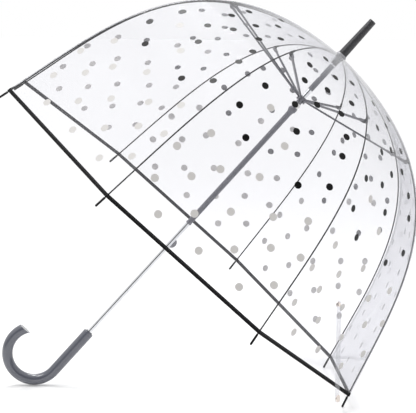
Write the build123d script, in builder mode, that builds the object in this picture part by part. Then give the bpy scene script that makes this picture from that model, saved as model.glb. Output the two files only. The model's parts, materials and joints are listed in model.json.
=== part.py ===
"""Clear dome umbrella with a crook handle, open and resting on its crook and two rib tips.

Each piece is modelled upright, in millimetres, with the shaft along +Z, the rim at Z = 0 and the
crook towards -X. One placement then lays the whole umbrella down the way it rests on a floor.
"""
from build123d import *
from math import atan2, cos, degrees, hypot, radians, sin, sqrt
import os

os.makedirs("parts", exist_ok=True)

# Canopy and ribs
RIB_COUNT = 8
RIB_STEP = 360 / RIB_COUNT  # degrees between ribs
HALF_GORE = RIB_STEP / 2
RIM_RADIUS = 417.0  # shaft axis to rib, at the hem
DOME_HEIGHT = 421.0  # rim to crown hinge
CROWN_RING_R = 8.0
RIB_BULGE_HIGH = (341.0, 401.0)  # the two handles of the rib's curve
RIB_BULGE_LOW = (364.0, 182.0)
RIB_D = 2.4
ROD_PAST_RIM = 14.0  # rib's wire beyond the hem, inside its tip
FILM_LIFT = 2.7  # film's middle above the rib's centre line
FILM_T = 0.4
HEM_WIDTH = 6.0
HEM_T = 1.2
TIP_LENGTH = 20.0
TIP_D = 3.9

# Shaft, ferrule and crook
SHAFT_D = 8.4
SHAFT_BORE_D = 7.0
SHAFT_TOP_Z = 470.0
SHAFT_BOTTOM_Z = -325.0
WASHER_Z = (424.0, 428.0)
WASHER_R = 10.5
FERRULE_TOP_Z = 507.0
FERRULE_BASE_D = 16.4
FERRULE_TIP_D = 13.0
HANDLE_TOP_Z = -239.5
HANDLE_D = 19.5
CROOK_Z = -333.5  # centre of the crook's loop
CROOK_R = 47.4
CROOK_SWEEP = 222.0
CROOK_END_Z = -310.6  # the crook's end is cut square to the shaft
FIT_GAP = 0.05  # between pieces that sit tight on the shaft
SLIDE_GAP = 0.1  # between the runner and the shaft
COLLAR_WALL = 2.2
COLLAR_HEIGHT = 2.0

# Crown and the stop that the open runner meets
CROWN_Z = (418.4, 422.9)
CROWN_R = 11.0
CROWN_NECK_Z = 404.0
CROWN_NECK_R = 5.9
STOP_Z = (344.0, 402.0)
STOP_WALL = 0.9
STOP_NOTCH_Z = 372.0

# Runner and stretchers
HUB_Z = 322.0  # plane of the stretcher hinges when open
HUB_RING_R = 7.0
HUB_D = 17.6
HUB_FLANGE_Z = (317.0, 327.0)
HUB_NECK_Z = 312.2
HUB_NECK_R = 5.2
NECK_Z = (303.2, 312.0)
NECK_R = 6.2
SLEEVE_D = 9.8
SLEEVE_BOTTOM_Z = 24.0
SLEEVE_TOP_Z = 303.0
FLANGE_R = 7.6  # thumb flange near the sleeve's top
FLANGE_FOOT_R = 5.6
BRACKET_R = 217.0  # where the stretcher meets the rib
BRACKET_DROP = 5.5  # stretcher pivot below the rib's centre line
BRACKET_CLIP_D = 3.7
BRACKET_LENGTH = 12.0
BRACKET_WIDTH = 7.0
BRACKET_T = 1.6
PIVOT_D = 2.2
FORK_HOLE_D = 2.3
RIB_FOLD = 41.5  # degrees each rib turns as the umbrella closes

# Hinge eyes and their ring wires
WIRE_D = 1.1
EYE_D = 3.2
EYE_HOLE_D = 1.3
EYE_WIDTH = 2.0
ROD_START = 1.9  # from the eye's centre
SHANK_HEIGHT = 0.8
SLOT_WIDTH = 2.9
SLOT_LENGTH = 12.0

# Spring catches in the shaft
LOWER_CATCH_Z = -21.0
LOWER_CATCH_SPAN = 18.0
LOWER_CATCH_PROUD = 6.0
UPPER_CATCH_Z = 307.5
UPPER_CATCH_SPAN = 8.0
UPPER_CATCH_PROUD = 2.6
CATCH_T = 1.0
CATCH_DEPTH = 2.0  # how far a catch reaches into the tube

# Tie strap
STUD_Z = 111.0
STUD_OFFSET = -14.0  # along the gore, from its middle
STRAP_LENGTH = 156.0
STUD_PIN_D = 3.2
STUD_DISC_R = 4.6
STUD_HEAD_R = 3.4
STRAP_WIDTH = 14.0
STRAP_T = 0.6
SNAP_D = 12.0
SNAP_T = 2.0

# How the open umbrella lies: the shaft leans this far from upright towards +X
LEAN = 41.7


def radial_plane(angle):
    """The upright plane through the shaft at an angle: x outwards, y up."""
    a = radians(angle)
    return Plane(origin=(0, 0, 0), x_dir=(cos(a), sin(a), 0), z_dir=(sin(a), -cos(a), 0))


def offset_curve(lift):
    """Control points of the rib's curve moved outwards by lift."""
    points = [(CROWN_RING_R, DOME_HEIGHT), RIB_BULGE_HIGH, RIB_BULGE_LOW, (RIM_RADIUS, 0.0)]
    normals = []
    for (r0, z0), (r1, z1) in zip(points, points[1:]):
        length = hypot(r1 - r0, z1 - z0)
        normals.append(((z0 - z1) / length, (r1 - r0) / length))
    pairs = zip([normals[0]] + normals, normals + [normals[-1]])
    moved = []
    for (r, z), (a, b) in zip(points, pairs):
        share = lift / (1 + a[0] * b[0] + a[1] * b[1])
        moved.append((r + share * (a[0] + b[0]), z + share * (a[1] + b[1])))
    return moved


def curve_at(points, s):
    """Point of a cubic curve, and its unit tangent."""
    t = 1 - s
    weights = (t**3, 3 * t * t * s, 3 * t * s * s, s**3)
    spot = tuple(sum(w * p[i] for w, p in zip(weights, points)) for i in (0, 1))
    slope = [
        t * t * (points[1][i] - points[0][i])
        + 2 * t * s * (points[2][i] - points[1][i])
        + s * s * (points[3][i] - points[2][i])
        for i in (0, 1)
    ]
    size = hypot(*slope)
    return spot, (slope[0] / size, slope[1] / size)


def share_at_radius(points, radius):
    """How far along the curve a radius is reached, by halving."""
    low, high = 0.0, 1.0
    for _ in range(50):
        middle = (low + high) / 2
        if curve_at(points, middle)[0][0] < radius:
            low = middle
        else:
            high = middle
    return low


def curve_from(points, s):
    """Control points of the part of a curve beyond a share of it."""
    rest = [points[-1]]
    while len(points) > 1:
        points = [tuple(a + s * (b - a) for a, b in zip(p, q)) for p, q in zip(points, points[1:])]
        rest.insert(0, points[-1])
    return rest


# Linkage: the rib turns about the crown ring, the stretcher about the hub's ring
rib_curve = offset_curve(0.0)
bracket_share = share_at_radius(rib_curve, BRACKET_R)
(bracket_r, bracket_z), (along_r, along_z) = curve_at(rib_curve, bracket_share)
pivot_r = bracket_r + BRACKET_DROP * along_z
pivot_z = bracket_z - BRACKET_DROP * along_r
reach_r, reach_z = pivot_r - HUB_RING_R, pivot_z - HUB_Z
STRETCHER_LENGTH = hypot(reach_r, reach_z)
STRETCHER_TILT = degrees(atan2(reach_z, reach_r))
arm_r, arm_z = pivot_r - CROWN_RING_R, pivot_z - DOME_HEIGHT
fold = radians(RIB_FOLD)
closed_r = CROWN_RING_R + arm_r * cos(fold) + arm_z * sin(fold)
closed_z = DOME_HEIGHT - arm_r * sin(fold) + arm_z * cos(fold)
closed_reach = closed_r - HUB_RING_R
closed_hub_z = closed_z - sqrt(STRETCHER_LENGTH**2 - closed_reach**2)
RUNNER_TRAVEL = HUB_Z - closed_hub_z
STRETCHER_FOLD = degrees(atan2(closed_z - closed_hub_z, closed_reach)) - STRETCHER_TILT
print(f"travel {RUNNER_TRAVEL:.2f} mm, stretcher turns {STRETCHER_FOLD:.3f} degrees")

UPWARDS = (Align.CENTER, Align.CENTER, Align.MIN)  # a cylinder that stands on its plane
pieces = {}  # name: piece, upright

# ---------------------------------------------------------------- shaft and its ends
shaft_length = SHAFT_TOP_Z - SHAFT_BOTTOM_Z
with BuildPart(Plane.XY.offset(SHAFT_BOTTOM_Z)) as shaft_tube:
    Cylinder(SHAFT_D / 2, shaft_length, align=UPWARDS)
    Cylinder(SHAFT_BORE_D / 2, shaft_length, align=UPWARDS, mode=Mode.SUBTRACT)
    for slot_z, slot_span in ((LOWER_CATCH_Z, LOWER_CATCH_SPAN), (UPPER_CATCH_Z, UPPER_CATCH_SPAN)):
        with Locations((SHAFT_D / 2, 0, slot_z - SHAFT_BOTTOM_Z)):
            Box(SHAFT_D / 2, CATCH_T + 0.3, slot_span + 0.6, mode=Mode.SUBTRACT)
pieces["shaft_tube"] = shaft_tube.part

with BuildPart() as crook_handle:
    with BuildLine(Plane.XZ) as crook_path:
        grip_line = Line((0, HANDLE_TOP_Z), (0, CROOK_Z))
        CenterArc((-CROOK_R, CROOK_Z), CROOK_R, 0, -CROOK_SWEEP)
    with BuildSketch(Plane.XY.offset(HANDLE_TOP_Z)):
        Circle(HANDLE_D / 2)
    sweep(path=crook_path.line)
    with Locations((-2 * CROOK_R, 0, CROOK_END_Z)):
        Box(2 * CROOK_R, 2 * HANDLE_D, CROOK_R, align=UPWARDS, mode=Mode.SUBTRACT)
    fillet(crook_handle.edges().group_by(Axis.Z)[-1], 1.2)
    with BuildSketch(Plane.XY.offset(HANDLE_TOP_Z + 1)):
        Circle(SHAFT_D / 2 + FIT_GAP)
    extrude(amount=SHAFT_BOTTOM_Z - HANDLE_TOP_Z - 1.5, mode=Mode.SUBTRACT)
pieces["crook_handle"] = crook_handle.part

with BuildPart(Plane.XY.offset(HANDLE_TOP_Z + FIT_GAP)) as handle_collar:
    Cylinder(SHAFT_D / 2 + COLLAR_WALL, COLLAR_HEIGHT, align=UPWARDS)
    fillet(handle_collar.edges().group_by(Axis.Z)[-1], 0.6)
    Cylinder(SHAFT_D / 2 + FIT_GAP, COLLAR_HEIGHT, align=UPWARDS, mode=Mode.SUBTRACT)
pieces["handle_collar"] = handle_collar.part

with BuildPart() as ferrule:
    with BuildSketch(Plane.XZ):
        with BuildLine():
            Polyline(
                (0, WASHER_Z[1] + FIT_GAP),
                (FERRULE_BASE_D / 2, WASHER_Z[1] + FIT_GAP),
                (FERRULE_TIP_D / 2, FERRULE_TOP_Z),
                (0, FERRULE_TOP_Z),
                close=True,
            )
        make_face()
    revolve(axis=Axis.Z)
    chamfer(ferrule.edges().group_by(Axis.Z)[-1], 0.8)
    with BuildSketch(Plane.XY.offset(WASHER_Z[1])):
        Circle(SHAFT_D / 2 + FIT_GAP)
    extrude(amount=SHAFT_TOP_Z - WASHER_Z[1] + 2 * FIT_GAP, mode=Mode.SUBTRACT)
pieces["ferrule"] = ferrule.part

with BuildPart(Plane.XY.offset(WASHER_Z[0] + FIT_GAP)) as apex_washer:
    washer_height = WASHER_Z[1] - WASHER_Z[0] - FIT_GAP
    Cone(WASHER_R, FERRULE_BASE_D / 2 + 0.6, washer_height, align=UPWARDS)
    Cylinder(SHAFT_D / 2 + FIT_GAP, washer_height, align=UPWARDS, mode=Mode.SUBTRACT)
pieces["apex_washer"] = apex_washer.part


# ---------------------------------------------------------------- slotted hubs and ring wires
def slotted_hub(ring_r, ring_z, outer_r, low, high, neck_low, neck_r):
    """A flange with a slot for each hinge eye, a groove for the ring wire, and a neck below."""
    with BuildPart() as hub:
        with BuildSketch(Plane.XY.offset(low)):
            Circle(outer_r)
        extrude(amount=high - low)
        fillet(hub.edges(), 0.5)
        with BuildSketch(Plane.XY.offset(neck_low)):
            Circle(neck_r)
        extrude(amount=low - neck_low + 0.5)
        with BuildSketch(Plane.XY.offset(low - 1)):
            with PolarLocations(ring_r + SLOT_LENGTH / 3, RIB_COUNT, start_angle=HALF_GORE):
                Rectangle(SLOT_LENGTH, SLOT_WIDTH)
        extrude(amount=high - low + 2, mode=Mode.SUBTRACT)
        with BuildSketch(Plane.XZ):
            with Locations((ring_r, ring_z)):
                Circle(WIRE_D / 2 + FIT_GAP)
        revolve(axis=Axis.Z, mode=Mode.SUBTRACT)
        with BuildSketch(Plane.XY.offset(neck_low - 1)):
            Circle(SHAFT_D / 2 + FIT_GAP)
        extrude(amount=high - neck_low + 2, mode=Mode.SUBTRACT)
    return hub.part


def ring_wire(ring_r, ring_z):
    """The wire ring that the hinge eyes are threaded on."""
    with BuildPart() as wire:
        with BuildSketch(Plane.XZ):
            with Locations((ring_r, ring_z)):
                Circle(WIRE_D / 2)
        revolve(axis=Axis.Z)
    return wire.part


pieces["crown"] = slotted_hub(CROWN_RING_R, DOME_HEIGHT, CROWN_R, *CROWN_Z, CROWN_NECK_Z, CROWN_NECK_R)
pieces["crown_wire"] = ring_wire(CROWN_RING_R, DOME_HEIGHT)
pieces["runner_hub"] = slotted_hub(HUB_RING_R, HUB_Z, HUB_D / 2, *HUB_FLANGE_Z, HUB_NECK_Z, HUB_NECK_R)
pieces["runner_wire"] = ring_wire(HUB_RING_R, HUB_Z)

stop_height = STOP_Z[1] - STOP_Z[0]
with BuildPart(Plane.XY.offset(STOP_Z[0])) as upper_stop:
    Cylinder(SHAFT_D / 2 + STOP_WALL, stop_height, align=UPWARDS)
    chamfer(upper_stop.edges(), 0.3)
    Cylinder(SHAFT_D / 2 + FIT_GAP, stop_height, align=UPWARDS, mode=Mode.SUBTRACT)
    with Locations((-SHAFT_D / 2 - 1, 0, STOP_NOTCH_Z - STOP_Z[0])):
        Box(2.4, 12, 5, mode=Mode.SUBTRACT)
pieces["upper_stop"] = upper_stop.part

# ---------------------------------------------------------------- runner
neck_height = NECK_Z[1] - NECK_Z[0]
with BuildPart(Plane.XY.offset(NECK_Z[0])) as runner_neck:
    Cylinder(NECK_R, neck_height, align=UPWARDS)
    fillet(runner_neck.edges(), 0.5)
    Cylinder(SHAFT_D / 2 + SLIDE_GAP, neck_height, align=UPWARDS, mode=Mode.SUBTRACT)
    with Locations((NECK_R, 0, UPPER_CATCH_Z - NECK_Z[0])):
        Box(6.2, CATCH_T + 0.8, UPPER_CATCH_SPAN + 6, mode=Mode.SUBTRACT)
pieces["runner_neck"] = runner_neck.part

with BuildPart() as runner_sleeve:
    with BuildSketch(Plane.XZ):
        with BuildLine():
            Polyline(
                (SHAFT_D / 2 + SLIDE_GAP, SLEEVE_BOTTOM_Z),
                (SLEEVE_D / 2 + 0.3, SLEEVE_BOTTOM_Z),
                (SLEEVE_D / 2 + 0.3, SLEEVE_BOTTOM_Z + 3),
                (SLEEVE_D / 2, SLEEVE_BOTTOM_Z + 4),
                (SLEEVE_D / 2, SLEEVE_TOP_Z - 17),
                (FLANGE_FOOT_R, SLEEVE_TOP_Z - 11),
                (FLANGE_R, SLEEVE_TOP_Z - 8),
                (FLANGE_R, SLEEVE_TOP_Z - 4),
                (FLANGE_FOOT_R, SLEEVE_TOP_Z - 1),
                (FLANGE_FOOT_R, SLEEVE_TOP_Z),
                (SHAFT_D / 2 + SLIDE_GAP, SLEEVE_TOP_Z),
                close=True,
            )
        make_face()
    revolve(axis=Axis.Z)
pieces["runner_sleeve"] = runner_sleeve.part


# ---------------------------------------------------------------- spring catches
def catch_fin(middle_z, span, proud, depth):
    """A half-moon leaf that stands out of the shaft's slot, with a tail that holds it in the tube."""
    shaft_r = SHAFT_D / 2
    with BuildPart() as fin:
        with BuildSketch(Plane.XZ):
            with BuildLine():
                ThreePointArc(
                    (shaft_r, middle_z - span / 2),
                    (shaft_r + proud, middle_z),
                    (shaft_r, middle_z + span / 2),
                )
                Polyline(
                    (shaft_r, middle_z + span / 2),
                    (shaft_r - depth, middle_z + span / 2),
                    (shaft_r - depth, middle_z - span / 2),
                    (shaft_r, middle_z - span / 2),
                )
            make_face()
        extrude(amount=CATCH_T / 2, both=True)
        with Locations((shaft_r - depth + 0.4, 0, middle_z)):
            Box(0.8, CATCH_T, span + 6)
    return fin.part


pieces["lower_catch"] = catch_fin(LOWER_CATCH_Z, LOWER_CATCH_SPAN, LOWER_CATCH_PROUD, CATCH_DEPTH)
pieces["upper_catch"] = catch_fin(UPPER_CATCH_Z, UPPER_CATCH_SPAN, UPPER_CATCH_PROUD, CATCH_DEPTH)

# ---------------------------------------------------------------- one rib, along +X
rim_point, rim_tangent = curve_at(rib_curve, 1.0)
first_plane = radial_plane(0)
rod_end = (rim_point[0] + ROD_PAST_RIM * rim_tangent[0], rim_point[1] + ROD_PAST_RIM * rim_tangent[1])
with BuildPart() as rib_rod:
    with BuildLine(first_plane) as rod_path:
        Bezier(*curve_from(rib_curve, share_at_radius(rib_curve, CROWN_RING_R + ROD_START)))
        Line(rim_point, rod_end)
    with BuildSketch(Plane(origin=rod_path.line @ 0, z_dir=rod_path.line % 0)):
        Circle(RIB_D / 2)
    sweep(path=rod_path.line)
    with BuildSketch(first_plane):
        with Locations((CROWN_RING_R, DOME_HEIGHT)):
            Circle(EYE_D / 2)
        with Locations((CROWN_RING_R + ROD_START, DOME_HEIGHT)):
            Rectangle(2.0, SHANK_HEIGHT)
        with Locations((CROWN_RING_R, DOME_HEIGHT)):
            Circle(EYE_HOLE_D / 2, mode=Mode.SUBTRACT)
    extrude(amount=EYE_WIDTH / 2, both=True)

bracket_point = (bracket_r, 0, bracket_z)
bracket_plane = Plane(origin=bracket_point, x_dir=(along_r, 0, along_z), z_dir=(0, -1, 0))
rib_axis_plane = Plane(origin=bracket_point, x_dir=(0, 1, 0), z_dir=(along_r, 0, along_z))
with BuildPart() as rib_bracket:
    with BuildSketch(rib_axis_plane):
        Circle(BRACKET_CLIP_D / 2)
    extrude(amount=BRACKET_LENGTH / 2, both=True)
    with BuildSketch(bracket_plane):
        with Locations((0, -BRACKET_DROP / 2)):
            Rectangle(BRACKET_WIDTH, BRACKET_DROP)
        with Locations((0, -BRACKET_DROP)):
            Circle(BRACKET_WIDTH / 2)
    extrude(amount=BRACKET_T / 2, both=True)
    with BuildSketch(bracket_plane):
        with Locations((0, -BRACKET_DROP)):
            Circle(PIVOT_D / 2)
    extrude(amount=2.1, both=True)
    add(rib_rod.part, mode=Mode.SUBTRACT)

tip_plane = Plane(
    origin=(rim_point[0] + 1.6 * rim_tangent[0], 0, rim_point[1] + 1.6 * rim_tangent[1]),
    x_dir=(0, 1, 0),
    z_dir=(rim_tangent[0], 0, rim_tangent[1]),
)
with BuildPart(tip_plane) as rib_tip:
    Cylinder(TIP_D / 2, TIP_LENGTH, align=UPWARDS)
    fillet(rib_tip.faces().sort_by(Axis.Z)[0].edges(), 1.6)
    Cylinder(RIB_D / 2 + FIT_GAP, 12.6, align=UPWARDS, mode=Mode.SUBTRACT)

# ---------------------------------------------------------------- film sector and hem, around +X
gore_plane = radial_plane(HALF_GORE)
flat = cos(radians(HALF_GORE))  # a flat gore's middle is this much nearer the shaft than its ribs


def gore_band(section):
    """Extrude a radial section across half a gore, and mirror it over the rib."""
    with BuildPart() as band:
        extrude(section, amount=RIM_RADIUS / 2, both=True)
        split(bisect_by=Plane.XZ, keep=Keep.BOTTOM)
        split(bisect_by=gore_plane, keep=Keep.TOP)
        mirror(about=Plane.XZ)
    return band.part


# The film runs from a hole round the shaft to the hem
film_middle = [(r * flat, z) for r, z in offset_curve(FILM_LIFT)]
film_outer = [(r * flat, z) for r, z in offset_curve(FILM_LIFT + FILM_T / 2)]
film_inner = [(r * flat, z) for r, z in offset_curve(FILM_LIFT - FILM_T / 2)]
film_hole_r = SHAFT_D / 2 + 0.3
with BuildSketch(gore_plane) as film_section:
    with BuildLine():
        Line((film_hole_r, film_inner[0][1]), film_inner[0])
        Bezier(*film_inner)
        Line(film_inner[-1], film_outer[-1])
        Bezier(*reversed(film_outer))
        Line(film_outer[0], (film_hole_r, film_outer[0][1]))
        Line((film_hole_r, film_outer[0][1]), (film_hole_r, film_inner[0][1]))
    make_face()

# The binding tape is folded over the film's edge
(edge_r, edge_z), (run_r, run_z) = curve_at(film_middle, 1.0)


def hem_spot(up, out):
    """A point of the tape's section: up the film from its edge, and out from its middle."""
    return (edge_r - up * run_r - out * run_z, edge_z - up * run_z + out * run_r)


film_gap = FILM_T / 2 + 0.06
with BuildSketch(gore_plane) as hem_section:
    with BuildLine():
        Polyline(
            hem_spot(HEM_WIDTH, HEM_T / 2),
            hem_spot(HEM_WIDTH, film_gap),
            hem_spot(-0.1, film_gap),
            hem_spot(-0.1, -film_gap),
            hem_spot(HEM_WIDTH, -film_gap),
            hem_spot(HEM_WIDTH, -HEM_T / 2),
            hem_spot(-0.7, -HEM_T / 2),
            hem_spot(-0.7, HEM_T / 2),
            close=True,
        )
    make_face()

film_sector = gore_band(film_section.sketch)
hem_sector = gore_band(hem_section.sketch)

# ---------------------------------------------------------------- one stretcher, along +X
# From the hub: an eye and its shank, a U channel, then a block that carries the fork's two cheeks
SHANK_LENGTH = 18.0
CHANNEL_START = 13.0
CHANNEL_WIDTH = 3.4
FORK_START = 12.0  # before the far pivot
stretcher_plane = Plane(
    origin=(HUB_RING_R, 0, HUB_Z),
    x_dir=(cos(radians(STRETCHER_TILT)), 0, sin(radians(STRETCHER_TILT))),
    z_dir=(0, -1, 0),
)
channel_plane = Plane(
    origin=stretcher_plane.origin + stretcher_plane.x_dir * CHANNEL_START,
    x_dir=(0, 1, 0),
    z_dir=stretcher_plane.x_dir,
)
with BuildPart() as stretcher:
    with BuildSketch(stretcher_plane):
        Circle(EYE_D / 2)
        with Locations((SHANK_LENGTH / 2, 0)):
            Rectangle(SHANK_LENGTH, 2.4)
    extrude(amount=EYE_WIDTH / 2, both=True)
    with BuildSketch(channel_plane):
        Rectangle(CHANNEL_WIDTH, 3.0)
        with Locations((0, 0.6)):
            Rectangle(CHANNEL_WIDTH - 1.2, 1.8, mode=Mode.SUBTRACT)
    extrude(amount=STRETCHER_LENGTH - CHANNEL_START - FORK_START)
    for side in (-1, 1):
        with BuildSketch(stretcher_plane.offset(side * 3.0)):
            with Locations((STRETCHER_LENGTH - 5, 0)):
                SlotOverall(18, 4.2)
        extrude(amount=0.4, both=True)
    with BuildSketch(stretcher_plane):
        with Locations((STRETCHER_LENGTH - FORK_START, 0)):
            Rectangle(3.6, 3.4)
    extrude(amount=3.2, both=True)
    with BuildSketch(stretcher_plane):
        Circle(EYE_HOLE_D / 2)
        with Locations((STRETCHER_LENGTH, 0)):
            Circle(FORK_HOLE_D / 2)
    extrude(amount=5, both=True, mode=Mode.SUBTRACT)

for number in range(1, RIB_COUNT + 1):
    turn = Rotation(0, 0, HALF_GORE + RIB_STEP * (number - 1))
    rib = Compound(children=[rib_rod.part.moved(turn), rib_bracket.part.moved(turn)])
    pieces[f"rib_{number}"] = rib
    pieces[f"rib_tip_{number}"] = rib_tip.part.moved(turn)
    pieces[f"stretcher_{number}"] = stretcher.part.moved(turn)
    pieces[f"canopy_panel_{number}"] = film_sector.moved(turn)
    pieces[f"hem_tape_{number}"] = hem_sector.moved(turn)

# ---------------------------------------------------------------- tie strap on the gore before rib 8
lean = radians(LEAN)
down = Vector(sin(lean), 0, -cos(lean))  # straight down once the umbrella lies on the floor
strap_gore = radial_plane(7 * RIB_STEP)
low_share, high_share = 0.0, 1.0
for _ in range(50):
    stud_share = (low_share + high_share) / 2
    if curve_at(film_outer, stud_share)[0][1] > STUD_Z:
        low_share = stud_share
    else:
        high_share = stud_share
(stud_r, stud_z), (stud_run_r, stud_run_z) = curve_at(film_outer, stud_share)
outwards = strap_gore.x_dir * -stud_run_z + Vector(0, 0, stud_run_r)
across = Vector(0, 0, 1).cross(strap_gore.x_dir)
stud_point = strap_gore.x_dir * stud_r + Vector(0, 0, stud_z) + across * STUD_OFFSET
strap_wide = (across - down * across.dot(down)).normalized()
strap_plane = Plane(origin=stud_point + outwards * 2.6, x_dir=strap_wide, z_dir=strap_wide.cross(down * -1))
with BuildPart(Plane(origin=stud_point + outwards * 0.05, z_dir=outwards)) as strap_stud:
    Cylinder(STUD_DISC_R, 0.5, align=UPWARDS)
    with BuildSketch(strap_plane.offset(-2.3)):
        Circle(STUD_PIN_D / 2)
    extrude(amount=3.0)
    with BuildSketch(strap_plane.offset(STRAP_T / 2 + 0.05)):
        Circle(STUD_HEAD_R)
    extrude(amount=1.0)
pieces["strap_stud"] = strap_stud.part

with BuildPart() as tie_strap:
    with BuildSketch(strap_plane):
        with Locations((0, -STRAP_LENGTH / 2)):
            SlotOverall(STRAP_LENGTH + STRAP_WIDTH, STRAP_WIDTH, rotation=90)
        Circle(STUD_PIN_D / 2 + 0.08, mode=Mode.SUBTRACT)
    extrude(amount=STRAP_T / 2, both=True)
pieces["tie_strap"] = tie_strap.part

with BuildPart(strap_plane.offset(STRAP_T / 2 + 0.02)) as snap_cap:
    with Locations((0, -STRAP_LENGTH)):
        Cylinder(SNAP_D / 2, SNAP_T, align=UPWARDS)
pieces["snap_cap"] = snap_cap.part

# ---------------------------------------------------------------- lay the umbrella down and write it
leaned = Rotation(0, LEAN, 0)
box = Compound(children=[piece.moved(leaned) for piece in pieces.values()]).bounding_box()
to_floor = Pos(-(box.min.X + box.max.X) / 2, -(box.min.Y + box.max.Y) / 2, -box.min.Z) * leaned
for name, piece in pieces.items():
    laid = piece.moved(to_floor)
    laid.label = name
    export_step(laid, f"parts/{name}.step")
print("box", box.size, "shift", to_floor.position)
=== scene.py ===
import json
from math import cos, hypot, pi, radians, sin, tan

import bpy
from mathutils import Matrix, Vector


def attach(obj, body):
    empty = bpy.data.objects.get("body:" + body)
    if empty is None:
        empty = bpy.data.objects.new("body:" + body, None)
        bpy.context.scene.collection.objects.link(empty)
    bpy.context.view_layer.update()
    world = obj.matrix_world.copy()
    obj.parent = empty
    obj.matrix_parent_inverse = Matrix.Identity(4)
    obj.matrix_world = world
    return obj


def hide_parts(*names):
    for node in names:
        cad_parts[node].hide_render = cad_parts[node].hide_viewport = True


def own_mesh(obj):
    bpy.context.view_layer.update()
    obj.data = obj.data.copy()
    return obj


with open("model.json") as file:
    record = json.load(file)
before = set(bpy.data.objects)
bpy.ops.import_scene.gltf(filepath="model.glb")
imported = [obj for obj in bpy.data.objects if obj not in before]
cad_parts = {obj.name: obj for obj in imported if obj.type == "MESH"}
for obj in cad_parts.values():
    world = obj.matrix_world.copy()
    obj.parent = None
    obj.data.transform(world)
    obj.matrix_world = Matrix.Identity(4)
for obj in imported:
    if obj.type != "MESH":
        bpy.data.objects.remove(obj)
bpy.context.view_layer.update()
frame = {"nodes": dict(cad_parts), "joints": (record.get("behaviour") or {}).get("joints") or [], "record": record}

# ------------------------------------------------------------------ sizes, in metres
RIB_COUNT = 8
HALF_GORE = pi / RIB_COUNT
RIM_RADIUS = 0.417
DOME_HEIGHT = 0.421
CROWN_RING_R = 0.008
BULGE_HIGH = (0.341, 0.401)
BULGE_LOW = (0.364, 0.182)
FERRULE_TOP = 0.507
FILM_LIFT = 0.0027
FILM_T = 0.0003
BLACK_DOT_R = 0.0060
SILVER_DOT_R = 0.0065

# ------------------------------------------------------------------ the frame's own places
record = frame["record"]
mounts = {m["name"]: m for m in record["mounts"]}
UP = Vector(mounts["ferrule_tip"]["axis"]).normalized()
RIM_CENTRE = Vector(mounts["ferrule_tip"]["pos_m"]) - UP * FERRULE_TOP
ACROSS = Vector((0, 1, 0))
FORWARD = ACROSS.cross(UP).normalized()
TO_FLOOR = Matrix.Translation(RIM_CENTRE) @ Matrix((FORWARD, ACROSS, UP)).transposed().to_4x4()


def rib_angle(number):
    return HALF_GORE + 2 * HALF_GORE * (number - 1)


def turned(number):
    """Places a piece made along +X of the upright umbrella at a rib."""
    return TO_FLOOR @ Matrix.Rotation(rib_angle(number), 4, "Z")


def offset_curve(lift):
    """Control points of the rib's curve moved outwards by lift."""
    points = [(CROWN_RING_R, DOME_HEIGHT), BULGE_HIGH, BULGE_LOW, (RIM_RADIUS, 0.0)]
    normals = []
    for (r0, z0), (r1, z1) in zip(points, points[1:]):
        length = hypot(r1 - r0, z1 - z0)
        normals.append(((z0 - z1) / length, (r1 - r0) / length))
    moved = []
    for (r, z), a, b in zip(points, [normals[0]] + normals, normals + [normals[-1]]):
        share = lift / (1 + a[0] * b[0] + a[1] * b[1])
        moved.append((r + share * (a[0] + b[0]), z + share * (a[1] + b[1])))
    return moved


def curve_at(points, s):
    t = 1 - s
    weights = (t**3, 3 * t * t * s, 3 * t * s * s, s**3)
    return [sum(w * p[i] for w, p in zip(weights, points)) for i in (0, 1)]


# ------------------------------------------------------------------ node trees
def link(tree, source, target):
    """Join an output to an input, or set the input's value when source is a plain one."""
    if isinstance(source, bpy.types.NodeSocket):
        tree.links.new(source, target)
    else:
        target.default_value = source


def add_node(tree, kind, inputs=(), **settings):
    """A node with its settings, and its inputs given by name or number."""
    node = tree.nodes.new(kind)
    for name, value in settings.items():
        setattr(node, name, value)
    for key, value in dict(inputs).items():
        link(tree, value, node.inputs[key])
    return node


def calc(tree, operation, *values):
    return add_node(tree, "ShaderNodeMath", dict(enumerate(values)), operation=operation).outputs[0]


def material(name, build):
    """A node material. build gets the tree and returns the surface shader's output."""
    made = bpy.data.materials.new(name)
    made.use_nodes = True
    tree = made.node_tree
    tree.nodes.clear()
    surface = build(tree)
    add_node(tree, "ShaderNodeOutputMaterial", {"Surface": surface})
    return made


def object_noise(tree, scale, detail=3.0, stretch=(1, 1, 1)):
    coords = add_node(tree, "ShaderNodeTexCoord").outputs["Object"]
    mapped = add_node(tree, "ShaderNodeMapping", {"Vector": coords, "Scale": stretch}).outputs[0]
    noise = add_node(tree, "ShaderNodeTexNoise", {"Vector": mapped, "Scale": scale, "Detail": detail})
    return noise.outputs["Fac"]


def spread(tree, value, low, high):
    """A 0 to 1 value spread over a range."""
    node = add_node(tree, "ShaderNodeMapRange", {"Value": value, "To Min": low, "To Max": high})
    return node.outputs["Result"]


def tinted(tree, value, dark, light):
    mix = add_node(tree, "ShaderNodeMix", {"Factor": value}, data_type="RGBA")
    mix.inputs["A"].default_value = (*dark, 1)
    mix.inputs["B"].default_value = (*light, 1)
    return mix.outputs["Result"]


def bumped(tree, height, distance, strength=1.0):
    inputs = {"Height": height, "Distance": distance, "Strength": strength}
    return add_node(tree, "ShaderNodeBump", inputs).outputs[0]


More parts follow.
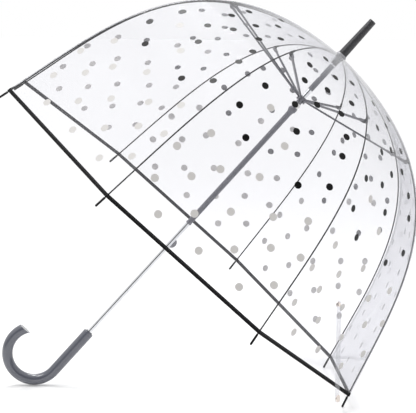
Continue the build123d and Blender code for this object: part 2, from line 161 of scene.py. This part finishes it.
def moulded(name, dark, light, rough, grain=900.0, depth=0.00004, coat=0.0, shine=0.35):
    """Moulded plastic or painted metal: a fine grain, a little colour drift and uneven gloss."""

    def build(tree):
        fine = object_noise(tree, grain, 4.0)
        broad = object_noise(tree, 22.0, 2.0)
        shader = add_node(
            tree,
            "ShaderNodeBsdfPrincipled",
            {
                "Base Color": tinted(tree, broad, dark, light),
                "Roughness": spread(tree, fine, rough[0], rough[1]),
                "Normal": bumped(tree, fine, depth),
                "Specular IOR Level": shine,
                "Coat Weight": coat,
                "Coat Roughness": 0.08,
            },
        )
        return shader.outputs[0]

    return material(name, build)


def drawn_metal(name, colour, rough, streak=(1, 1, 1), scale=300.0):
    """Drawn or plated metal, with faint streaks along the drawing."""

    def build(tree):
        streaks = object_noise(tree, scale, 3.0, streak)
        shade = tuple(0.86 * c for c in colour)
        shader = add_node(
            tree,
            "ShaderNodeBsdfPrincipled",
            {
                "Base Color": tinted(tree, streaks, shade, colour),
                "Roughness": spread(tree, streaks, rough[0], rough[1]),
                "Normal": bumped(tree, streaks, 0.00001),
                "Metallic": 1.0,
            },
        )
        return shader.outputs[0]

    return material(name, build)


def clear_film(name, face_tint, edge_tint, body=0.03, gloss=0.55):
    """Clear soft film: see-through face on, greyer and shinier where it is seen edge on."""

    def build(tree):
        facing = add_node(tree, "ShaderNodeLayerWeight", {"Blend": 0.5}).outputs["Facing"]
        sheer = add_node(
            tree,
            "ShaderNodeBsdfTransparent",
            {"Color": tinted(tree, calc(tree, "POWER", facing, 5.0), face_tint, edge_tint)},
        )
        ripple = object_noise(tree, 7.0, 2.0)
        fine = object_noise(tree, 60.0, 2.0)
        skin = add_node(
            tree,
            "ShaderNodeBsdfPrincipled",
            {
                "Base Color": (0.86, 0.865, 0.88, 1),
                "Roughness": spread(tree, fine, 0.05, 0.12),
                "Normal": bumped(tree, ripple, 0.0025, 0.6),
                "IOR": 1.5,
            },
        )
        mirror = calc(tree, "MULTIPLY", calc(tree, "POWER", facing, 4.0), gloss)
        share = calc(tree, "ADD", mirror, body)
        layers = {0: share, 1: sheer.outputs[0], 2: skin.outputs[0]}
        return add_node(tree, "ShaderNodeMixShader", layers).outputs[0]

    return material(name, build)


def woven_tape(name, dark, light):
    """Narrow woven binding: a fine twill read along and across the tape."""

    def build(tree):
        uv = add_node(tree, "ShaderNodeTexCoord").outputs["UV"]
        slant = (0, 0, radians(40))
        spun = add_node(tree, "ShaderNodeMapping", {"Vector": uv, "Rotation": slant}).outputs[0]
        twill = add_node(tree, "ShaderNodeTexWave", {"Vector": spun, "Scale": 1.1, "Distortion": 0.4})
        shader = add_node(
            tree,
            "ShaderNodeBsdfPrincipled",
            {
                "Base Color": tinted(tree, twill.outputs["Fac"], dark, light),
                "Roughness": spread(tree, twill.outputs["Fac"], 0.55, 0.75),
                "Normal": bumped(tree, twill.outputs["Fac"], 0.00008),
                "Specular IOR Level": 0.1,
            },
        )
        return shader.outputs[0]

    return material(name, build)


CROOK_PLASTIC = moulded(
    "crook plastic",
    (0.085, 0.09, 0.11),
    (0.10, 0.105, 0.13),
    (0.14, 0.2),
    coat=0.8,
    shine=0.6,
)
FERRULE_PLASTIC = moulded("ferrule plastic", (0.035, 0.035, 0.038), (0.048, 0.048, 0.052), (0.3, 0.4))
SLEEVE_PLASTIC = moulded("runner plastic", (0.135, 0.135, 0.155), (0.165, 0.165, 0.185), (0.28, 0.4))
PALE_PLASTIC = moulded("pale plastic", (0.74, 0.73, 0.71), (0.82, 0.81, 0.79), (0.25, 0.35))
SMOKY_PLASTIC = moulded("smoky plastic", (0.30, 0.30, 0.32), (0.36, 0.36, 0.38), (0.2, 0.3))
RIB_PAINT = moulded("rib paint", (0.010, 0.010, 0.011), (0.018, 0.018, 0.020), (0.35, 0.5), shine=0.2)
CHANNEL_PAINT = moulded("stretcher paint", (0.085, 0.085, 0.097), (0.115, 0.115, 0.13), (0.35, 0.5))
TIP_PLASTIC = moulded("tip plastic", (0.006, 0.006, 0.007), (0.012, 0.012, 0.013), (0.2, 0.3))
CHROME = drawn_metal("chrome tube", (0.80, 0.81, 0.83), (0.05, 0.12), (1, 1, 0.05))
SPRING_STEEL = drawn_metal("spring steel", (0.30, 0.30, 0.32), (0.25, 0.4))
SNAP_METAL = drawn_metal("snap metal", (0.78, 0.70, 0.64), (0.22, 0.34))
FILM = clear_film("clear film", (0.975, 0.975, 0.982), (0.60, 0.60, 0.64), body=0.02, gloss=0.7)
STRAP_FILM = clear_film("strap film", (0.93, 0.93, 0.94), (0.55, 0.55, 0.58), body=0.10)
HEM_OUTER = woven_tape("hem tape outside", (0.004, 0.004, 0.004), (0.014, 0.014, 0.015))
HEM_INNER = woven_tape("hem tape inside", (0.045, 0.045, 0.05), (0.075, 0.075, 0.08))
THREAD = moulded("hem thread", (0.10, 0.10, 0.11), (0.16, 0.16, 0.17), (0.5, 0.7))
BLACK_INK = moulded("black ink", (0.003, 0.003, 0.003), (0.005, 0.005, 0.005), (0.2, 0.3), shine=0.2)
SILVER_INK = moulded("silver ink", (0.52, 0.505, 0.49), (0.59, 0.575, 0.56), (0.4, 0.5), grain=2500.0)
INK_BACK = moulded("ink underside", (0.16, 0.16, 0.165), (0.22, 0.22, 0.225), (0.4, 0.5))


def dress(node, finish):
    """Give a kept CAD node its finish."""
    part = frame["nodes"][node]
    part.data.materials.clear()
    part.data.materials.append(finish)


KEPT_FINISHES = {
    "shaft_tube": CHROME,
    "crook_handle": CROOK_PLASTIC,
    "handle_collar": CROOK_PLASTIC,
    "ferrule": FERRULE_PLASTIC,
    "apex_washer": SMOKY_PLASTIC,
    "crown": FERRULE_PLASTIC,
    "crown_wire": SPRING_STEEL,
    "upper_stop": SLEEVE_PLASTIC,
    "runner_hub": SLEEVE_PLASTIC,
    "runner_wire": SPRING_STEEL,
    "runner_neck": PALE_PLASTIC,
    "runner_sleeve": SLEEVE_PLASTIC,
    "lower_catch": SPRING_STEEL,
    "upper_catch": SPRING_STEEL,
    "strap_stud": SNAP_METAL,
    "snap_cap": SNAP_METAL,
}
for number in range(1, RIB_COUNT + 1):
    KEPT_FINISHES[f"rib_{number}"] = RIB_PAINT
    KEPT_FINISHES[f"rib_tip_{number}"] = TIP_PLASTIC
    KEPT_FINISHES[f"stretcher_{number}"] = CHANNEL_PAINT
for node, finish in KEPT_FINISHES.items():
    dress(node, finish)


# ------------------------------------------------------------------ making pieces
def piece_from(name, verts, faces, *finishes):
    mesh = bpy.data.meshes.new(name)
    mesh.from_pydata([tuple(v) for v in verts], [], faces)
    for finish in finishes:
        mesh.materials.append(finish)
    made = bpy.data.objects.new(name, mesh)
    bpy.context.collection.objects.link(made)
    return made


def smooth(piece):
    """Smooth shading, with the edges of a sheet kept crisp so that its face reads flat up to them."""
    for face in piece.data.polygons:
        face.use_smooth = True
    piece.data.set_sharp_from_angle(angle=radians(40))


def geometry_tree(name, sizes):
    """An empty Geometry Nodes tree with named inputs, and its group input node."""
    tree = bpy.data.node_groups.new(name, "GeometryNodeTree")
    for label, (kind, value) in sizes.items():
        socket = tree.interface.new_socket(label, in_out="INPUT", socket_type=kind)
        if value is not None:
            socket.default_value = value
    tree.interface.new_socket("Geometry", in_out="OUTPUT", socket_type="NodeSocketGeometry")
    return tree, tree.nodes.new("NodeGroupInput")


def finish_tree(tree, given, geometry):
    """End a tree: real geometry with its finish."""
    real = add_node(tree, "GeometryNodeRealizeInstances", {"Geometry": geometry})
    painted = {"Geometry": real.outputs[0], "Material": given.outputs["Finish"]}
    done = add_node(tree, "GeometryNodeSetMaterial", painted)
    add_node(tree, "NodeGroupOutput", {0: done.outputs[0]})


def grown(name, tree, settings, base=None):
    """Run a Geometry Nodes tree on a carrier mesh and keep the result as a plain mesh."""
    carrier = base or piece_from(name + "_carrier", [(0, 0, 0)], [])
    modifier = carrier.modifiers.new("grow", "NODES")
    modifier.node_group = tree
    by_name = {s.name: s.identifier for s in tree.interface.items_tree if s.in_out == "INPUT"}
    for label, value in settings.items():
        modifier[by_name[label]] = value
    view = bpy.context.evaluated_depsgraph_get()
    mesh = bpy.data.meshes.new_from_object(carrier.evaluated_get(view), depsgraph=view)
    bpy.data.objects.remove(carrier)
    mesh.name = name
    made = bpy.data.objects.new(name, mesh)
    bpy.context.collection.objects.link(made)
    return made


def hold_to_rib(piece, number):
    """Ride a soft piece on its rib, with a mesh of its own."""
    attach(piece, f"rib_{number}")
    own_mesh(piece)


# ------------------------------------------------------------------ clear film, one sector to a rib
FILM_ROWS = 96
FILM_COLUMNS = 40


def film_tree():
    """A sector of the dome: a cubic curve down the rib, straight across to the middle of each gore."""
    sizes = {"Geometry": ("NodeSocketGeometry", None)}
    for index, label in enumerate(("Crown", "High bulge", "Low bulge", "Hem")):
        r, z = offset_curve(FILM_LIFT)[index]
        sizes[label] = ("NodeSocketVector", (r, 0, z))
    sizes["Half gore"] = ("NodeSocketFloat", HALF_GORE)
    sizes["Ripple"] = ("NodeSocketFloat", 0.0006)
    sizes["Crease"] = ("NodeSocketFloat", 0.0)
    sizes["Seed"] = ("NodeSocketFloat", 0.0)
    sizes["Finish"] = ("NodeSocketMaterial", None)
    tree, given = geometry_tree("film sector", sizes)

    def times(a, b):
        return calc(tree, "MULTIPLY", a, b)

    def mix(a, b, factor):
        node = add_node(tree, "ShaderNodeMix", data_type="VECTOR")
        for socket, value in ((node.inputs[0], factor), (node.inputs[4], a), (node.inputs[5], b)):
            link(tree, value, socket)
        return node.outputs[1]

    grid = add_node(
        tree,
        "GeometryNodeMeshGrid",
        {"Size X": 2.0, "Size Y": 1.0, "Vertices X": FILM_COLUMNS + 1, "Vertices Y": FILM_ROWS + 1},
    )
    position = add_node(tree, "GeometryNodeInputPosition").outputs[0]
    spot = add_node(tree, "ShaderNodeSeparateXYZ", {0: position})
    side = spot.outputs[0]
    down = calc(tree, "SUBTRACT", 0.5, spot.outputs[1])
    crown, high, low, hem = (given.outputs[label] for label in ("Crown", "High bulge", "Low bulge", "Hem"))
    first = [mix(crown, high, down), mix(high, low, down), mix(low, hem, down)]
    second = [mix(first[0], first[1], down), mix(first[1], first[2], down)]
    ridge = add_node(tree, "ShaderNodeSeparateXYZ", {0: mix(second[0], second[1], down)})
    radius, height = ridge.outputs[0], ridge.outputs[2]
    cosine = calc(tree, "COSINE", given.outputs["Half gore"])
    sine = calc(tree, "SINE", given.outputs["Half gore"])
    out = calc(tree, "ABSOLUTE", side)
    fall = times(times(out, radius), times(sine, sine))
    reach = times(times(side, radius), times(sine, cosine))
    flat = add_node(
        tree,
        "ShaderNodeCombineXYZ",
        {0: calc(tree, "SUBTRACT", radius, fall), 1: reach, 2: height},
    ).outputs[0]

    # faint ripples, held still at the rib, at the middle of the gore and at the hem
    held = times(calc(tree, "SINE", times(out, pi)), calc(tree, "SUBTRACT", 1.0, down))
    spacing = {0: flat, 1: (9.0, 26.0, 9.0)}
    stretch = add_node(tree, "ShaderNodeVectorMath", spacing, operation="MULTIPLY").outputs[0]
    noise = add_node(
        tree,
        "ShaderNodeTexNoise",
        {"Vector": stretch, "W": given.outputs["Seed"], "Scale": 1.0, "Detail": 1.0},
        noise_dimensions="4D",
    )
    swing = calc(tree, "SUBTRACT", noise.outputs["Fac"], 0.5)
    amount = times(times(swing, held), times(given.outputs["Ripple"], 4.0))

    # soft creases that fan up from the hem beside a rib that carries the weight
    low_down = calc(tree, "POWER", down, 6.0)
    fan = calc(tree, "SINE", calc(tree, "ADD", times(side, 13.0), times(noise.outputs["Fac"], 9.0)))
    crease = times(times(fan, low_down), times(given.outputs["Crease"], out))
    normal = add_node(tree, "GeometryNodeInputNormal")
    placed = add_node(tree, "GeometryNodeSetPosition", {"Geometry": grid.outputs[0], "Position": flat})
    push = add_node(
        tree,
        "ShaderNodeVectorMath",
        {0: normal.outputs[0], "Scale": calc(tree, "ADD", amount, crease)},
        operation="SCALE",
    )
    moved = {"Geometry": placed.outputs[0], "Offset": push.outputs[0]}
    rippled = add_node(tree, "GeometryNodeSetPosition", moved)
    finish_tree(tree, given, rippled.outputs[0])
    return tree


def thicken(piece, thickness):
    """Give a sheet its thickness, half to each side, as plain mesh."""
    wall = piece.modifiers.new("thickness", "SOLIDIFY")
    wall.thickness = thickness
    wall.offset = 0.0
    view = bpy.context.evaluated_depsgraph_get()
    mesh = bpy.data.meshes.new_from_object(piece.evaluated_get(view), depsgraph=view)
    piece.modifiers.clear()
    piece.data = mesh
    return piece


def outward(piece, centre):
    """Turn a sheet's faces away from a point inside the dome."""
    mesh = piece.data
    leaning = sum((f.center - centre).dot(f.normal) * f.area for f in mesh.polygons)
    if leaning < 0:
        mesh.flip_normals()


FILM_TREE = film_tree()
CREASED = {8: 0.0016, 1: 0.0010, 7: 0.0006}
films = {}
for number in range(1, RIB_COUNT + 1):
    settings = {"Seed": 3.7 * number, "Crease": CREASED.get(number, 0.0002), "Finish": FILM}
    film = grown(f"film_{number}", FILM_TREE, settings)
    film.data.transform(turned(number))
    outward(film, RIM_CENTRE)
    film = thicken(film, FILM_T)
    smooth(film)
    films[number] = film
    hold_to_rib(film, number)
    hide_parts(f"canopy_panel_{number}")

# ------------------------------------------------------------------ printed dots
# Rows of the print down each gore: distance from the crown along its middle, then places across it
BLACK_ROWS = (
    (0.150, (-0.030, 0.030)),
    (0.182, (0.0,)),
    (0.212, (-0.048, 0.046)),
    (0.231, (0.0,)),
    (0.254, (-0.040, 0.041)),
    (0.277, (0.0,)),
    (0.287, (0.070,)),
    (0.310, (-0.029,)),
    (0.322, (-0.085, 0.083)),
    (0.347, (0.0,)),
    (0.380, (-0.097, 0.097)),
    (0.415, (-0.056, 0.056)),
)
SILVER_ROWS = (
    (0.347, (-0.056,)),
    (0.381, (0.0,)),
    (0.448, (-0.102, 0.001, 0.105)),
    (0.481, (-0.054, 0.058)),
    (0.500, (-0.129, 0.133)),
    (0.521, (-0.081, 0.002, 0.087)),
    (0.561, (-0.122, -0.039, 0.045, 0.129)),
    (0.601, (-0.081, 0.004, 0.089)),
)
GORE_STEPS = 400


def gore_middle():
    """Distance down the middle of a gore, with the place and the outward direction there."""
    points = [(r * cos(HALF_GORE), z) for r, z in offset_curve(FILM_LIFT)]
    spots = [curve_at(points, i / GORE_STEPS) for i in range(GORE_STEPS + 1)]
    walked, table = spots[0][0], []
    for (r0, z0), (r1, z1) in zip(spots, spots[1:]):
        step = hypot(r1 - r0, z1 - z0)
        table.append((walked, r0, z0, (z0 - z1) / step, (r1 - r0) / step))
        walked += step
    return table


GORE_MIDDLE = gore_middle()


def gore_flat_area():
    """A gore's area as cut: its width across at each step down its middle."""
    rows = zip(GORE_MIDDLE, GORE_MIDDLE[1:])
    return sum((b[0] - a[0]) * (a[1] + b[1]) * tan(HALF_GORE) for a, b in rows)


def dot_spots(rows, rib):
    """Centres and outward directions of the dots that lie on one rib's half gores."""
    found = []
    for side in (-1, 1):
        gore_angle = rib_angle(rib) + side * HALF_GORE
        out = Vector((cos(gore_angle), sin(gore_angle), 0))
        across = Vector((-sin(gore_angle), cos(gore_angle), 0))
        for distance, places in rows:
            _, r, z, out_r, out_z = min(GORE_MIDDLE, key=lambda row: abs(row[0] - distance))
            for offset in places:
                if (offset >= 0) == (side < 0):
                    centre = out * r + across * offset + Vector((0, 0, z))
                    facing = out * out_r + Vector((0, 0, out_z))
                    found.append((TO_FLOOR @ centre, TO_FLOOR.to_3x3() @ facing))
    return found


def dots_tree():
    """A printed disc on each point, on its outward direction, over an underside disc of the same size."""
    sizes = {
        "Geometry": ("NodeSocketGeometry", None),
        "Radius": ("NodeSocketFloat", BLACK_DOT_R),
        "Ink depth": ("NodeSocketFloat", 0.00006),
        "Stand off": ("NodeSocketFloat", FILM_T / 2 + 0.00010),
        "Ink": ("NodeSocketMaterial", None),
        "Underside": ("NodeSocketMaterial", None),
    }
    tree, given = geometry_tree("printed dots", sizes)
    facing = add_node(tree, "GeometryNodeInputNamedAttribute", {"Name": "facing"}, data_type="FLOAT_VECTOR")
    aim = add_node(tree, "FunctionNodeAlignRotationToVector", {"Vector": facing.outputs[0]}, axis="Z")
    layers = add_node(tree, "GeometryNodeJoinGeometry")
    for label, level in (("Ink", 0.5), ("Underside", -0.6)):
        disc = add_node(
            tree,
            "GeometryNodeMeshCylinder",
            {"Vertices": 28, "Radius": given.outputs["Radius"], "Depth": given.outputs["Ink depth"]},
            fill_type="NGON",
        )
        printed = {"Geometry": disc.outputs[0], "Material": given.outputs[label]}
        coloured = add_node(tree, "GeometryNodeSetMaterial", printed)
        rise = calc(tree, "MULTIPLY", given.outputs["Ink depth"], level)
        height = calc(tree, "ADD", given.outputs["Stand off"], rise)
        lift = add_node(tree, "ShaderNodeCombineXYZ", {2: height})
        raised = add_node(
            tree,
            "GeometryNodeTransform",
            {"Geometry": coloured.outputs[0], "Translation": lift.outputs[0]},
        )
        tree.links.new(raised.outputs[0], layers.inputs[0])
    stamped = add_node(
        tree,
        "GeometryNodeInstanceOnPoints",
        {"Points": given.outputs["Geometry"], "Instance": layers.outputs[0], "Rotation": aim.outputs[0]},
    )
    real = add_node(tree, "GeometryNodeRealizeInstances", {"Geometry": stamped.outputs[0]})
    add_node(tree, "NodeGroupOutput", {0: real.outputs[0]})
    return tree


DOTS_TREE = dots_tree()


def print_dots(name, rows, rib, radius, ink):
    spots = dot_spots(rows, rib)
    carrier = piece_from(name + "_spots", [centre for centre, _ in spots], [])
    facing = carrier.data.attributes.new("facing", "FLOAT_VECTOR", "POINT")
    for index, (_, direction) in enumerate(spots):
        facing.data[index].vector = direction
    underside = INK_BACK if ink is BLACK_INK else ink
    dots = grown(name, DOTS_TREE, {"Radius": radius, "Ink": ink, "Underside": underside}, carrier)
    hold_to_rib(dots, rib)


for number in range(1, RIB_COUNT + 1):
    print_dots(f"black_dots_{number}", BLACK_ROWS, number, BLACK_DOT_R, BLACK_INK)
    print_dots(f"silver_dots_{number}", SILVER_ROWS, number, SILVER_DOT_R, SILVER_INK)

# ------------------------------------------------------------------ hem tape, folded over the film's edge
HEM_WIDTH = 0.006
HEM_WALL = 0.0003
HEM_GAP = 0.0003
HEM_COLUMNS = 48


def hem_piece(number):
    """The binding along one rib's share of the hem, as a folded strip with its own thickness."""
    edge = offset_curve(FILM_LIFT)
    (r1, z1), (r0, z0) = edge[3], edge[2]
    length = hypot(r1 - r0, z1 - z0)
    run_r, run_z = (r1 - r0) / length, (z1 - z0) / length
    half = HEM_GAP + HEM_WALL
    outline = [
        (HEM_WIDTH, half),
        (HEM_WIDTH * 0.5, half * 1.06),
        (0.0, half),
        (-0.0005, half * 0.6),
        (-0.0006, 0.0),
        (-0.0005, -half * 0.6),
        (0.0, -half),
        (HEM_WIDTH * 0.5, -half * 1.06),
        (HEM_WIDTH, -half),
        (HEM_WIDTH, -HEM_GAP),
        (0.0, -HEM_GAP),
        (0.0, HEM_GAP),
        (HEM_WIDTH, HEM_GAP),
    ]
    count = len(outline)
    verts, faces = [], []
    for column in range(HEM_COLUMNS + 1):
        side = 2 * column / HEM_COLUMNS - 1
        for up, out in outline:
            r = r1 - up * run_r - out * run_z
            z = z1 - up * run_z + out * run_r
            fall = abs(side) * r * sin(HALF_GORE) ** 2
            verts.append((r - fall, side * r * sin(HALF_GORE) * cos(HALF_GORE), z))
    for column in range(HEM_COLUMNS):
        for index in range(count):
            a = column * count + index
            b = column * count + (index + 1) % count
            faces.append((a, b, b + count, a + count))
    faces.append(tuple(reversed(range(count))))
    faces.append(tuple(HEM_COLUMNS * count + i for i in range(count)))
    hem = piece_from(f"hem_{number}", verts, faces, HEM_OUTER, HEM_INNER)
    inner = set(range(5, 12))
    for face in hem.data.polygons:
        if face.index < HEM_COLUMNS * count and face.index % count in inner:
            face.material_index = 1
    uv = hem.data.uv_layers.new(name="tape")
    for loop in hem.data.loops:
        column, index = divmod(loop.vertex_index, count)
        uv.data[loop.index].uv = (column * 7.0, outline[index][0] * 1000)
    hem.data.transform(turned(number))
    return hem


def stitch_tree():
    """Short thread stitches along a line of points."""
    sizes = {
        "Geometry": ("NodeSocketGeometry", None),
        "Pitch": ("NodeSocketFloat", 0.0034),
        "Stitch length": ("NodeSocketFloat", 0.0022),
        "Thread": ("NodeSocketFloat", 0.00018),
        "Finish": ("NodeSocketMaterial", None),
    }
    tree, given = geometry_tree("hem stitches", sizes)
    line = add_node(tree, "GeometryNodeMeshToCurve", {0: given.outputs["Geometry"]})
    points = add_node(
        tree,
        "GeometryNodeCurveToPoints",
        {"Curve": line.outputs[0], "Length": given.outputs["Pitch"]},
        mode="LENGTH",
    )
    thread = add_node(
        tree,
        "GeometryNodeMeshCylinder",
        {"Vertices": 6, "Radius": given.outputs["Thread"], "Depth": given.outputs["Stitch length"]},
        fill_type="NGON",
    )
    along = {"Vector": points.outputs["Tangent"]}
    aim = add_node(tree, "FunctionNodeAlignRotationToVector", along, axis="Z")
    sewn = add_node(
        tree,
        "GeometryNodeInstanceOnPoints",
        {"Points": points.outputs["Points"], "Instance": thread.outputs[0], "Rotation": aim.outputs[0]},
    )
    finish_tree(tree, given, sewn.outputs[0])
    return tree


STITCH_TREE = stitch_tree()


def hem_stitches(number):
    """One row of stitches on each face of the tape."""
    edge = offset_curve(FILM_LIFT)
    (r1, z1), (r0, z0) = edge[3], edge[2]
    length = hypot(r1 - r0, z1 - z0)
    run_r, run_z = (r1 - r0) / length, (z1 - z0) / length
    verts, edges = [], []
    for face in (-1, 1):
        for side in (-0.985, 0.0, 0.985):
            up, out = HEM_WIDTH * 0.62, face * (HEM_GAP + HEM_WALL + 0.00008)
            r = r1 - up * run_r - out * run_z
            z = z1 - up * run_z + out * run_r
            fall = abs(side) * r * sin(HALF_GORE) ** 2
            verts.append((r - fall, side * r * sin(HALF_GORE) * cos(HALF_GORE), z))
            if side > -0.9:
                edges.append((len(verts) - 2, len(verts) - 1))
    mesh = bpy.data.meshes.new("stitch_line")
    mesh.from_pydata(verts, edges, [])
    mesh.transform(turned(number))
    carrier = bpy.data.objects.new("stitch_line", mesh)
    bpy.context.collection.objects.link(carrier)
    return grown(f"hem_stitches_{number}", STITCH_TREE, {"Finish": THREAD}, carrier)


for number in range(1, RIB_COUNT + 1):
    hem = hem_piece(number)
    hold_to_rib(hem, number)
    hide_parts(f"hem_tape_{number}")
    stitches = hem_stitches(number)
    hold_to_rib(stitches, number)
    film = films[number]
    gore_flat_area()

# ------------------------------------------------------------------ tie strap
STRAP_T = 0.0006
STRAP_WIDTH = 0.014
STRAP_LENGTH = 0.156  # stud to snap
STRAP_ROWS = 60


def strap_piece():
    """A clear strip with round ends, hanging from its stud."""
    swing = next(j for j in frame["joints"] if j["name"] == "tie_strap_swing")
    pin, outwards = Vector(swing["pos_m"]), Vector(swing["axis"]).normalized()
    down = Vector((0, 0, -1))
    wide = down.cross(outwards).normalized()
    half_width, length, rows = STRAP_WIDTH / 2, STRAP_LENGTH, STRAP_ROWS
    verts, faces = [], []
    for row in range(rows + 1):
        along = -half_width + (length + 2 * half_width) * row / rows
        inset = max(0.0, -along, along - length)
        half = max((half_width**2 - inset**2), 0.0) ** 0.5 + 0.00002
        for column in range(7):
            side = 2 * column / 6 - 1
            verts.append(pin + down * along + wide * (side * half))
    for row in range(rows):
        for column in range(6):
            a = row * 7 + column
            faces.append((a, a + 1, a + 8, a + 7))
    strap = piece_from("strap", verts, faces, STRAP_FILM)
    return thicken(strap, STRAP_T)


strap = strap_piece()
smooth(strap)
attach(strap, "strap")
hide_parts("tie_strap")

# ------------------------------------------------------------------ floor, light and camera
MIRROR_SHARE = 0.16


def floor_finish():
    """A white sheet with a faint, slightly blurred mirror in it."""

    def build(tree):
        drift = object_noise(tree, 3.0, 2.0)
        paper = tinted(tree, drift, (0.96, 0.96, 0.96), (0.965, 0.965, 0.965))
        white = add_node(tree, "ShaderNodeBsdfDiffuse", {"Color": paper})
        blur = spread(tree, drift, 0.08, 0.12)
        mirror = add_node(tree, "ShaderNodeBsdfGlossy", {"Color": (1, 1, 1, 1), "Roughness": blur})
        layers = {0: MIRROR_SHARE, 1: white.outputs[0], 2: mirror.outputs[0]}
        return add_node(tree, "ShaderNodeMixShader", layers).outputs[0]

    return material("floor", build)


FLOOR_HALF = 40.0
floor = piece_from(
    "floor",
    [(x * FLOOR_HALF, y * FLOOR_HALF, 0) for x, y in ((-1, -1), (1, -1), (1, 1), (-1, 1))],
    [(0, 1, 2, 3)],
    floor_finish(),
)


ROOM_LIGHT = 0.86


def add_range(tree, value, from_low, from_high, to_low, to_high):
    """One range of values spread over another."""
    inputs = {"Value": value, "From Min": from_low, "From Max": from_high}
    inputs.update({"To Min": to_low, "To Max": to_high})
    return add_node(tree, "ShaderNodeMapRange", inputs).outputs["Result"]


def studio_world():
    """White to the camera, even light for matt surfaces, and a darker room for reflections."""
    world = bpy.data.worlds.new("studio")
    world.use_nodes = True
    tree = world.node_tree
    tree.nodes.clear()
    path = add_node(tree, "ShaderNodeLightPath").outputs
    direction = add_node(tree, "ShaderNodeTexCoord").outputs["Generated"]
    height = add_node(tree, "ShaderNodeSeparateXYZ", {0: direction}).outputs[2]
    facing = {0: direction, 1: (0.03, -0.99, 0.11)}
    toward = add_node(tree, "ShaderNodeVectorMath", facing, operation="DOT_PRODUCT").outputs["Value"]
    card = add_range(tree, toward, 0.62, 0.82, 1.0, 0.05)
    rise = add_range(tree, height, 0.1, 0.5, 0.15, 0.9)
    ahead = add_range(tree, toward, -0.2, 0.3, 0.0, 1.0)
    structured = calc(tree, "MULTIPLY", card, rise)
    room_light = add_node(tree, "ShaderNodeMix", {0: ahead, 2: 1.0, 3: structured}).outputs[0]
    seen = calc(tree, "MAXIMUM", path["Is Camera Ray"], ROOM_LIGHT)
    plain = add_node(tree, "ShaderNodeBackground", {"Color": (1, 1, 1, 1), "Strength": seen})
    room = add_node(tree, "ShaderNodeBackground", {"Color": (1, 1, 1, 1), "Strength": room_light})
    layers = {0: path["Is Glossy Ray"], 1: plain.outputs[0], 2: room.outputs[0]}
    mixed = add_node(tree, "ShaderNodeMixShader", layers)
    add_node(tree, "ShaderNodeOutputWorld", {"Surface": mixed.outputs[0]})
    bpy.context.scene.world = world


def softbox(name, where, aim, size, power):
    lamp = bpy.data.lights.new(name, "AREA")
    lamp.shape = "RECTANGLE"
    lamp.size, lamp.size_y = size
    lamp.energy = power
    holder = bpy.data.objects.new(name, lamp)
    holder.location = where
    holder.rotation_euler = (Vector(aim) - Vector(where)).to_track_quat("-Z", "Y").to_euler()
    bpy.context.collection.objects.link(holder)


studio_world()
softbox("key", (-1.3, -0.6, 2.4), (0.1, 0, 0.3), (1.0, 0.8), 14)
softbox("top", (-0.2, 0.9, 2.4), (0.1, 0, 0.3), (1.0, 0.8), 14)

sun = bpy.data.lights.new("sun", "SUN")
sun.energy = 0.75
sun.angle = radians(24)
sun_holder = bpy.data.objects.new("sun", sun)
sun_holder.rotation_euler = Vector((0.12, -0.25, -1.0)).to_track_quat("-Z", "Y").to_euler()
bpy.context.collection.objects.link(sun_holder)

CAMERA_PLACE = Vector((-0.0868, -2.9820, 0.6649))
CAMERA_AIM = Vector((0.0304, 0.9931, -0.1134))
CAMERA_ROLL = radians(0.63)
camera = bpy.data.objects.new("camera", bpy.data.cameras.new("camera"))
camera.data.lens = 146.5
camera.data.sensor_width = 36.0
camera.data.clip_end = 120.0
camera.location = CAMERA_PLACE
level = CAMERA_AIM.to_track_quat("-Z", "Y").to_matrix()
camera.rotation_euler = (level @ Matrix.Rotation(CAMERA_ROLL, 3, "Z")).to_euler()
bpy.context.collection.objects.link(camera)
bpy.context.scene.camera = camera
bpy.context.scene.view_settings.view_transform = "Standard"
